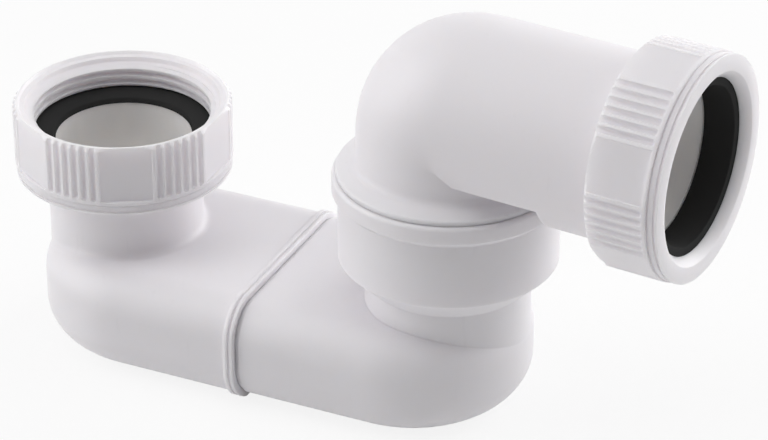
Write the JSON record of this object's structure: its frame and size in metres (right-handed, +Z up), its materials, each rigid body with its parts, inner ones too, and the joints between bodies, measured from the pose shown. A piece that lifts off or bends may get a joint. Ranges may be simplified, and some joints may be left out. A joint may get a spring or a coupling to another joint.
{
  "type": "bath trap",
  "caption": "Shallow bath waste trap with a union nut on the upright inlet, a flat box-shaped water seal body and a swivel elbow with a compression nut at the side outlet.",
  "frame": {"origin": "on the axis of the inlet neck, at the flat underside of the body", "axes": "+Z up along the inlet neck, +X from the inlet towards the outlet along the body"},
  "size_m": [0.1972, 0.0687, 0.1144],
  "materials": {
    "white_plastic": "moulded polypropylene with a soft sheen",
    "black_rubber": "matt"
  },
  "bodies": {
    "trap_body": {"inlet_half": "white_plastic", "outlet_half": "white_plastic", "inlet_washer": "black_rubber", "swivel_seal": "black_rubber"},
    "inlet_union": {"inlet_nut": "white_plastic"},
    "elbow": {"outlet_elbow": "white_plastic"},
    "cone_seal": {"outlet_seal": "black_rubber"},
    "outlet_union": {"outlet_nut": "white_plastic"}
  },
  "joints": [
    {"name": "inlet_nut_turn", "type": "hinge", "parent": "trap_body", "child": "inlet_union", "pos_m": [0, 0, 0.0607], "axis": [0, 0, 1], "continuous": true},
    {"name": "elbow_swivel", "type": "hinge", "parent": "trap_body", "child": "elbow", "pos_m": [0.09425, 0, 0.0653], "axis": [0, 0, 1], "range_deg": [-135, 145]},
    {"name": "outlet_nut_travel", "type": "slide", "parent": "elbow", "child": "cone_seal", "axis": [0.9951, -0.0993, 0], "range_m": [0, 0.007]},
    {"name": "outlet_nut_turn", "type": "hinge", "parent": "cone_seal", "child": "outlet_union", "pos_m": [0.15565, -0.00613, 0.0854], "axis": [0.9951, -0.0993, 0], "range_deg": [0, 1080]}
  ],
  "couplings": [
    {"joint": "outlet_nut_travel", "follows": "outlet_nut_turn", "m_per_rad": 0.00036749}
  ]
}
